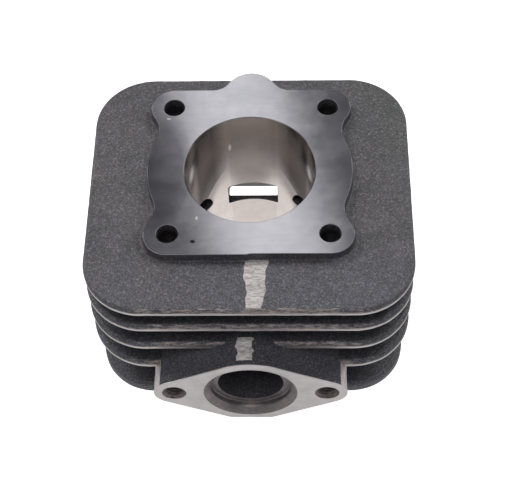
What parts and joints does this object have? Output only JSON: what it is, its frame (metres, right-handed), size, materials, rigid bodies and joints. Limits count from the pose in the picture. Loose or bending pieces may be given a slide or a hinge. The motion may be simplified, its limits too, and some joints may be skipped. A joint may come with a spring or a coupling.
{
  "type": "engine cylinder barrel",
  "caption": "Finned cast-iron barrel of a small air-cooled two-stroke engine, with a machined head face, ported bore and an exhaust flange on one side.",
  "frame": {"origin": "under the middle of the part's outline, at the level of the spigot's end face; the bore axis is 9.35 mm further along +Y", "axes": "+Z along the bore towards the cylinder head, -Y towards the exhaust flange, +X to the right when the exhaust flange faces the viewer"},
  "size_m": [0.0978, 0.0952, 0.068],
  "materials": {
    "cast_skin": "sand-cast skin, dark grey, matt and grainy",
    "machined_face": "fine-machined bare iron",
    "honed_bore": "honed bare iron, satin"
  },
  "bodies": {
    "root": {"head_deck": "machined_face", "top_fin": "cast_skin", "fin_2": "cast_skin", "fin_3_right": "cast_skin", "fin_3_left": "cast_skin", "fin_4_right": "cast_skin", "fin_4_left": "cast_skin", "upper_barrel": "honed_bore", "transfer_belt": "honed_bore", "rear_rib": "cast_skin", "stud_column_rear_right": "cast_skin", "stud_column_rear_left": "cast_skin", "stud_column_front_left": "cast_skin", "stud_column_front_right": "cast_skin", "base_flange": "cast_skin", "spigot": "machined_face", "exhaust_duct": "cast_skin", "exhaust_flange": "machined_face"}
  },
  "joints": []
}
